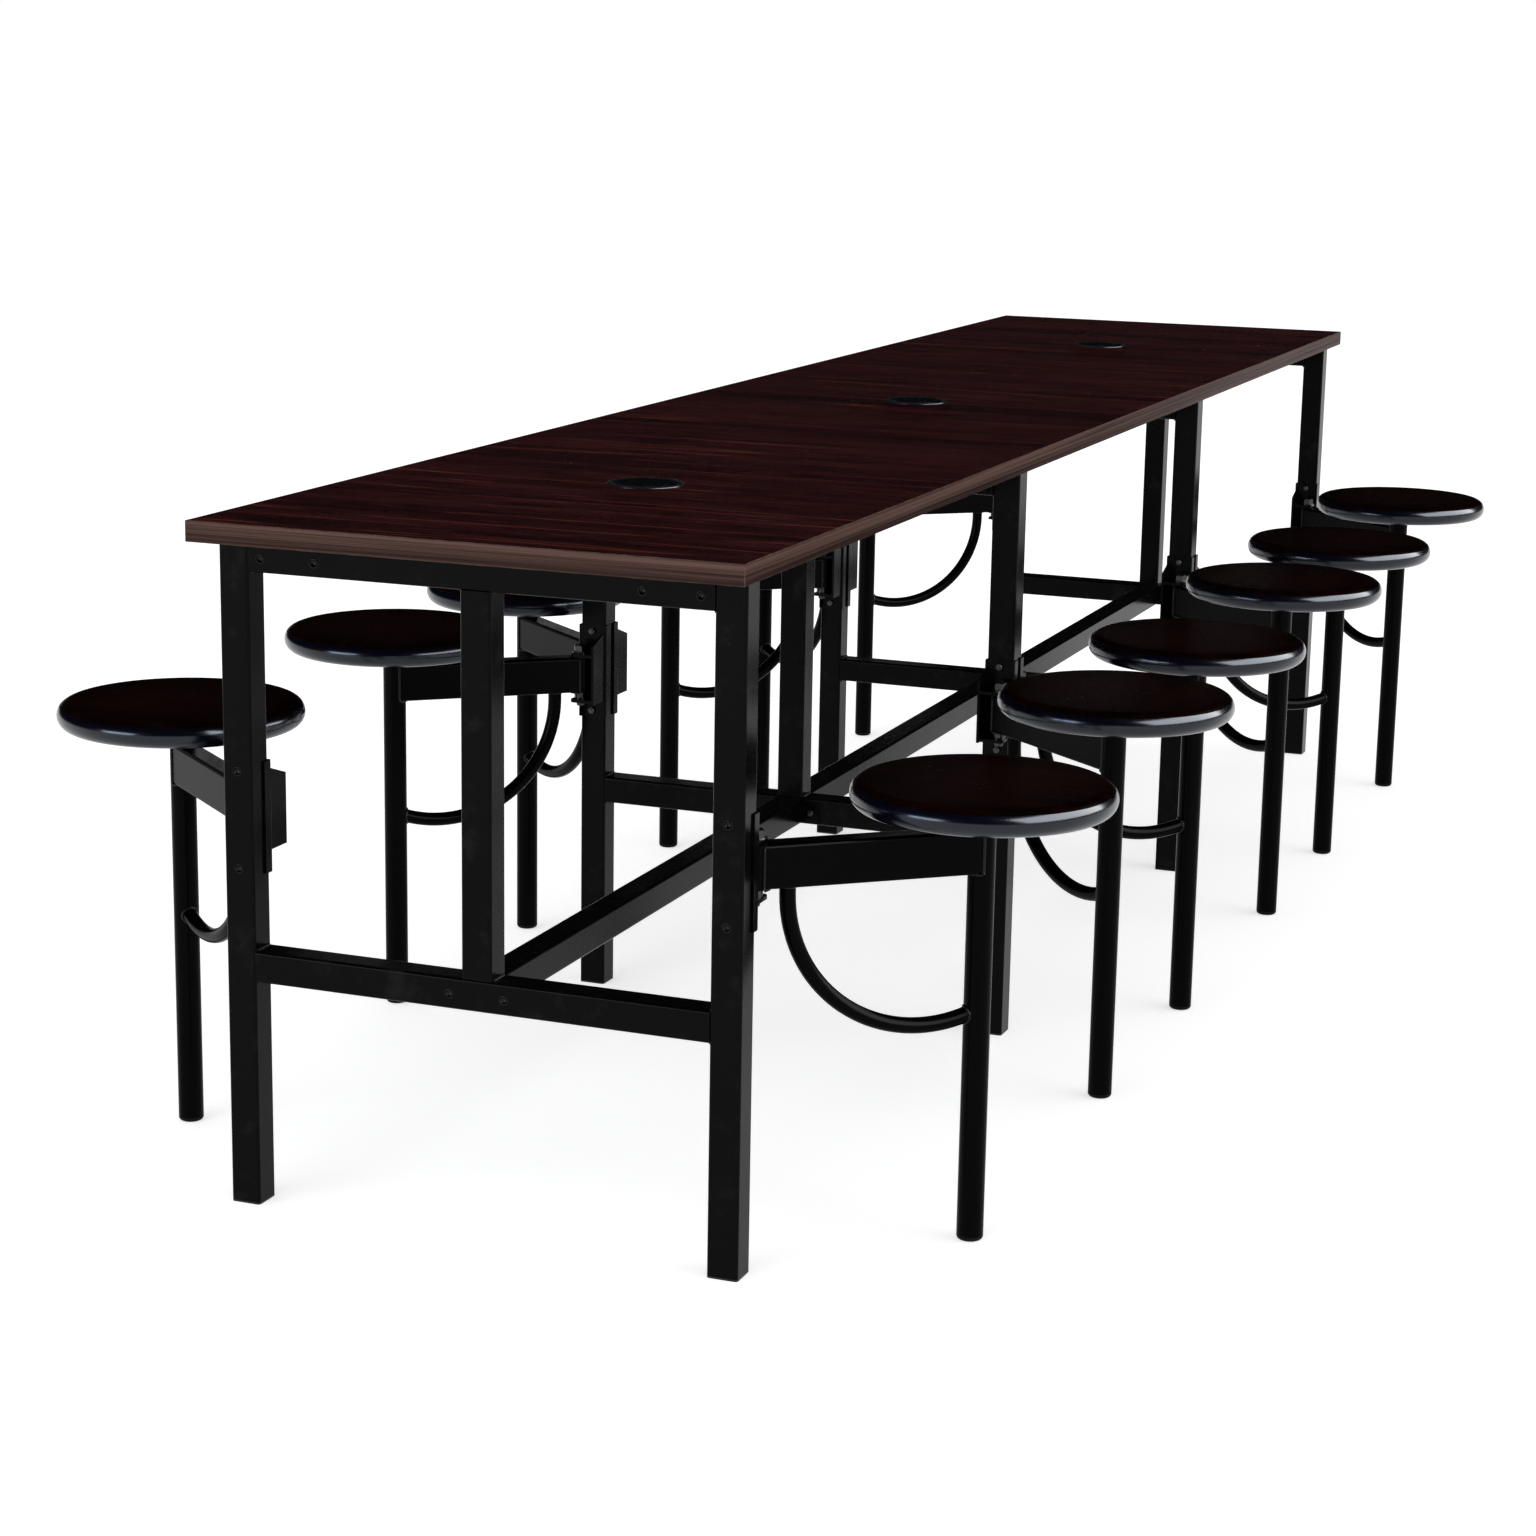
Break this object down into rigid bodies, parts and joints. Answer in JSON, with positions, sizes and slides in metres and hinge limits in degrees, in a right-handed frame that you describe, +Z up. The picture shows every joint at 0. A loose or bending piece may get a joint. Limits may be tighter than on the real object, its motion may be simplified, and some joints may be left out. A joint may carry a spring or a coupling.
{
  "type": "table with attached swivel seats",
  "caption": "Long counter-height dining table on a square-tube frame with round swivel seats on swing-out arms hinged to its legs.",
  "frame": {"origin": "on the floor under the middle of the table top", "axes": "+X across the table to its right side, +Y along the table from its front end to its back end, +Z up"},
  "size_m": [1.5736, 3.658, 0.962],
  "materials": {
    "top_laminate": "satin wood-grain laminate",
    "edge_band": "matt wood-print edging",
    "grommet_plastic": "gloss moulded plastic",
    "plug_plastic": "matt moulded plastic",
    "bright_zinc": "bright zinc plate",
    "arm_paint": "smooth black powder coat",
    "frame_paint": "fine-textured dark grey powder coat",
    "seat_shell": "satin top with a gloss rim"
  },
  "bodies": {
    "table": {"table_top": "top_laminate", "edge_band": "edge_band", "cable_grommets": "grommet_plastic", "frame_1": "frame_paint", "frame_2": "frame_paint", "frame_3": "frame_paint", "frame_4": "frame_paint", "lower_beam_1": "frame_paint", "lower_beam_2": "frame_paint", "lower_beam_3": "frame_paint", "top_stringers_right": "frame_paint", "top_stringers_left": "frame_paint", "foot_plugs": "plug_plastic", "frame_screws": "bright_zinc", "hinge_bolts": "bright_zinc", "hinge_bracket_right_1": "frame_paint", "hinge_bracket_right_2": "frame_paint", "hinge_bracket_right_3": "frame_paint", "hinge_bracket_right_4": "frame_paint", "hinge_bracket_left_1": "frame_paint", "hinge_bracket_left_2": "frame_paint", "hinge_bracket_left_3": "frame_paint", "hinge_bracket_left_4": "frame_paint"},
    "arm_right_1": {"swing_arm_right_1": "arm_paint", "seat_post_right_1": "arm_paint"},
    "swivel_seat_right_1": {"seat_right_1": "seat_shell"},
    "arm_right_2": {"swing_arm_right_2": "arm_paint", "seat_post_right_2": "arm_paint"},
    "swivel_seat_right_2": {"seat_right_2": "seat_shell"},
    "arm_right_3": {"swing_arm_right_3": "arm_paint", "seat_post_right_3": "arm_paint"},
    "swivel_seat_right_3": {"seat_right_3": "seat_shell"},
    "arm_right_4": {"swing_arm_right_4": "arm_paint", "seat_post_right_4": "arm_paint"},
    "swivel_seat_right_4": {"seat_right_4": "seat_shell"},
    "arm_right_5": {"swing_arm_right_5": "arm_paint", "seat_post_right_5": "arm_paint"},
    "swivel_seat_right_5": {"seat_right_5": "seat_shell"},
    "arm_right_6": {"swing_arm_right_6": "arm_paint", "seat_post_right_6": "arm_paint"},
    "swivel_seat_right_6": {"seat_right_6": "seat_shell"},
    "arm_left_1": {"swing_arm_left_1": "arm_paint", "seat_post_left_1": "arm_paint"},
    "swivel_seat_left_1": {"seat_left_1": "seat_shell"},
    "arm_left_2": {"swing_arm_left_2": "arm_paint", "seat_post_left_2": "arm_paint"},
    "swivel_seat_left_2": {"seat_left_2": "seat_shell"},
    "arm_left_3": {"swing_arm_left_3": "arm_paint", "seat_post_left_3": "arm_paint"},
    "swivel_seat_left_3": {"seat_left_3": "seat_shell"},
    "arm_left_4": {"swing_arm_left_4": "arm_paint", "seat_post_left_4": "arm_paint"},
    "swivel_seat_left_4": {"seat_left_4": "seat_shell"},
    "arm_left_5": {"swing_arm_left_5": "arm_paint", "seat_post_left_5": "arm_paint"},
    "swivel_seat_left_5": {"seat_left_5": "seat_shell"},
    "arm_left_6": {"swing_arm_left_6": "arm_paint", "seat_post_left_6": "arm_paint"},
    "swivel_seat_left_6": {"seat_left_6": "seat_shell"}
  },
  "joints": [
    {"name": "arm_swing_right_1", "type": "hinge", "parent": "table", "child": "arm_right_1", "pos_m": [0.366, -1.702, 0.546], "axis": [0, 0, 1], "range_deg": [-12, 70]},
    {"name": "seat_swivel_right_1", "type": "hinge", "parent": "arm_right_1", "child": "swivel_seat_right_1", "pos_m": [0.60884, -1.49824, 0.6], "axis": [0, 0, 1], "continuous": true},
    {"name": "arm_swing_right_2", "type": "hinge", "parent": "table", "child": "arm_right_2", "pos_m": [0.366, -0.634, 0.546], "axis": [0, 0, -1], "range_deg": [-12, 70]},
    {"name": "seat_swivel_right_2", "type": "hinge", "parent": "arm_right_2", "child": "swivel_seat_right_2", "pos_m": [0.60884, -0.83776, 0.6], "axis": [0, 0, 1], "continuous": true},
    {"name": "arm_swing_right_3", "type": "hinge", "parent": "table", "child": "arm_right_3", "pos_m": [0.366, -0.534, 0.546], "axis": [0, 0, 1], "range_deg": [-12, 70]},
    {"name": "seat_swivel_right_3", "type": "hinge", "parent": "arm_right_3", "child": "swivel_seat_right_3", "pos_m": [0.60884, -0.33024, 0.6], "axis": [0, 0, 1], "continuous": true},
    {"name": "arm_swing_right_4", "type": "hinge", "parent": "table", "child": "arm_right_4", "pos_m": [0.366, 0.534, 0.546], "axis": [0, 0, -1], "range_deg": [-12, 70]},
    {"name": "seat_swivel_right_4", "type": "hinge", "parent": "arm_right_4", "child": "swivel_seat_right_4", "pos_m": [0.60884, 0.33024, 0.6], "axis": [0, 0, 1], "continuous": true},
    {"name": "arm_swing_right_5", "type": "hinge", "parent": "table", "child": "arm_right_5", "pos_m": [0.366, 0.634, 0.546], "axis": [0, 0, 1], "range_deg": [-12, 70]},
    {"name": "seat_swivel_right_5", "type": "hinge", "parent": "arm_right_5", "child": "swivel_seat_right_5", "pos_m": [0.60884, 0.83776, 0.6], "axis": [0, 0, 1], "continuous": true},
    {"name": "arm_swing_right_6", "type": "hinge", "parent": "table", "child": "arm_right_6", "pos_m": [0.366, 1.702, 0.546], "axis": [0, 0, -1], "range_deg": [-12, 70]},
    {"name": "seat_swivel_right_6", "type": "hinge", "parent": "arm_right_6", "child": "swivel_seat_right_6", "pos_m": [0.60884, 1.49824, 0.6], "axis": [0, 0, 1], "continuous": true},
    {"name": "arm_swing_left_1", "type": "hinge", "parent": "table", "child": "arm_left_1", "pos_m": [-0.366, -1.702, 0.546], "axis": [0, 0, -1], "range_deg": [-12, 70]},
    {"name": "seat_swivel_left_1", "type": "hinge", "parent": "arm_left_1", "child": "swivel_seat_left_1", "pos_m": [-0.60884, -1.49824, 0.6], "axis": [0, 0, 1], "continuous": true},
    {"name": "arm_swing_left_2", "type": "hinge", "parent": "table", "child": "arm_left_2", "pos_m": [-0.366, -0.634, 0.546], "axis": [0, 0, 1], "range_deg": [-12, 70]},
    {"name": "seat_swivel_left_2", "type": "hinge", "parent": "arm_left_2", "child": "swivel_seat_left_2", "pos_m": [-0.60884, -0.83776, 0.6], "axis": [0, 0, 1], "continuous": true},
    {"name": "arm_swing_left_3", "type": "hinge", "parent": "table", "child": "arm_left_3", "pos_m": [-0.366, -0.534, 0.546], "axis": [0, 0, -1], "range_deg": [-12, 70]},
    {"name": "seat_swivel_left_3", "type": "hinge", "parent": "arm_left_3", "child": "swivel_seat_left_3", "pos_m": [-0.60884, -0.33024, 0.6], "axis": [0, 0, 1], "continuous": true},
    {"name": "arm_swing_left_4", "type": "hinge", "parent": "table", "child": "arm_left_4", "pos_m": [-0.366, 0.534, 0.546], "axis": [0, 0, 1], "range_deg": [-12, 70]},
    {"name": "seat_swivel_left_4", "type": "hinge", "parent": "arm_left_4", "child": "swivel_seat_left_4", "pos_m": [-0.60884, 0.33024, 0.6], "axis": [0, 0, 1], "continuous": true},
    {"name": "arm_swing_left_5", "type": "hinge", "parent": "table", "child": "arm_left_5", "pos_m": [-0.366, 0.634, 0.546], "axis": [0, 0, -1], "range_deg": [-12, 70]},
    {"name": "seat_swivel_left_5", "type": "hinge", "parent": "arm_left_5", "child": "swivel_seat_left_5", "pos_m": [-0.60884, 0.83776, 0.6], "axis": [0, 0, 1], "continuous": true},
    {"name": "arm_swing_left_6", "type": "hinge", "parent": "table", "child": "arm_left_6", "pos_m": [-0.366, 1.702, 0.546], "axis": [0, 0, 1], "range_deg": [-12, 70]},
    {"name": "seat_swivel_left_6", "type": "hinge", "parent": "arm_left_6", "child": "swivel_seat_left_6", "pos_m": [-0.60884, 1.49824, 0.6], "axis": [0, 0, 1], "continuous": true}
  ]
}
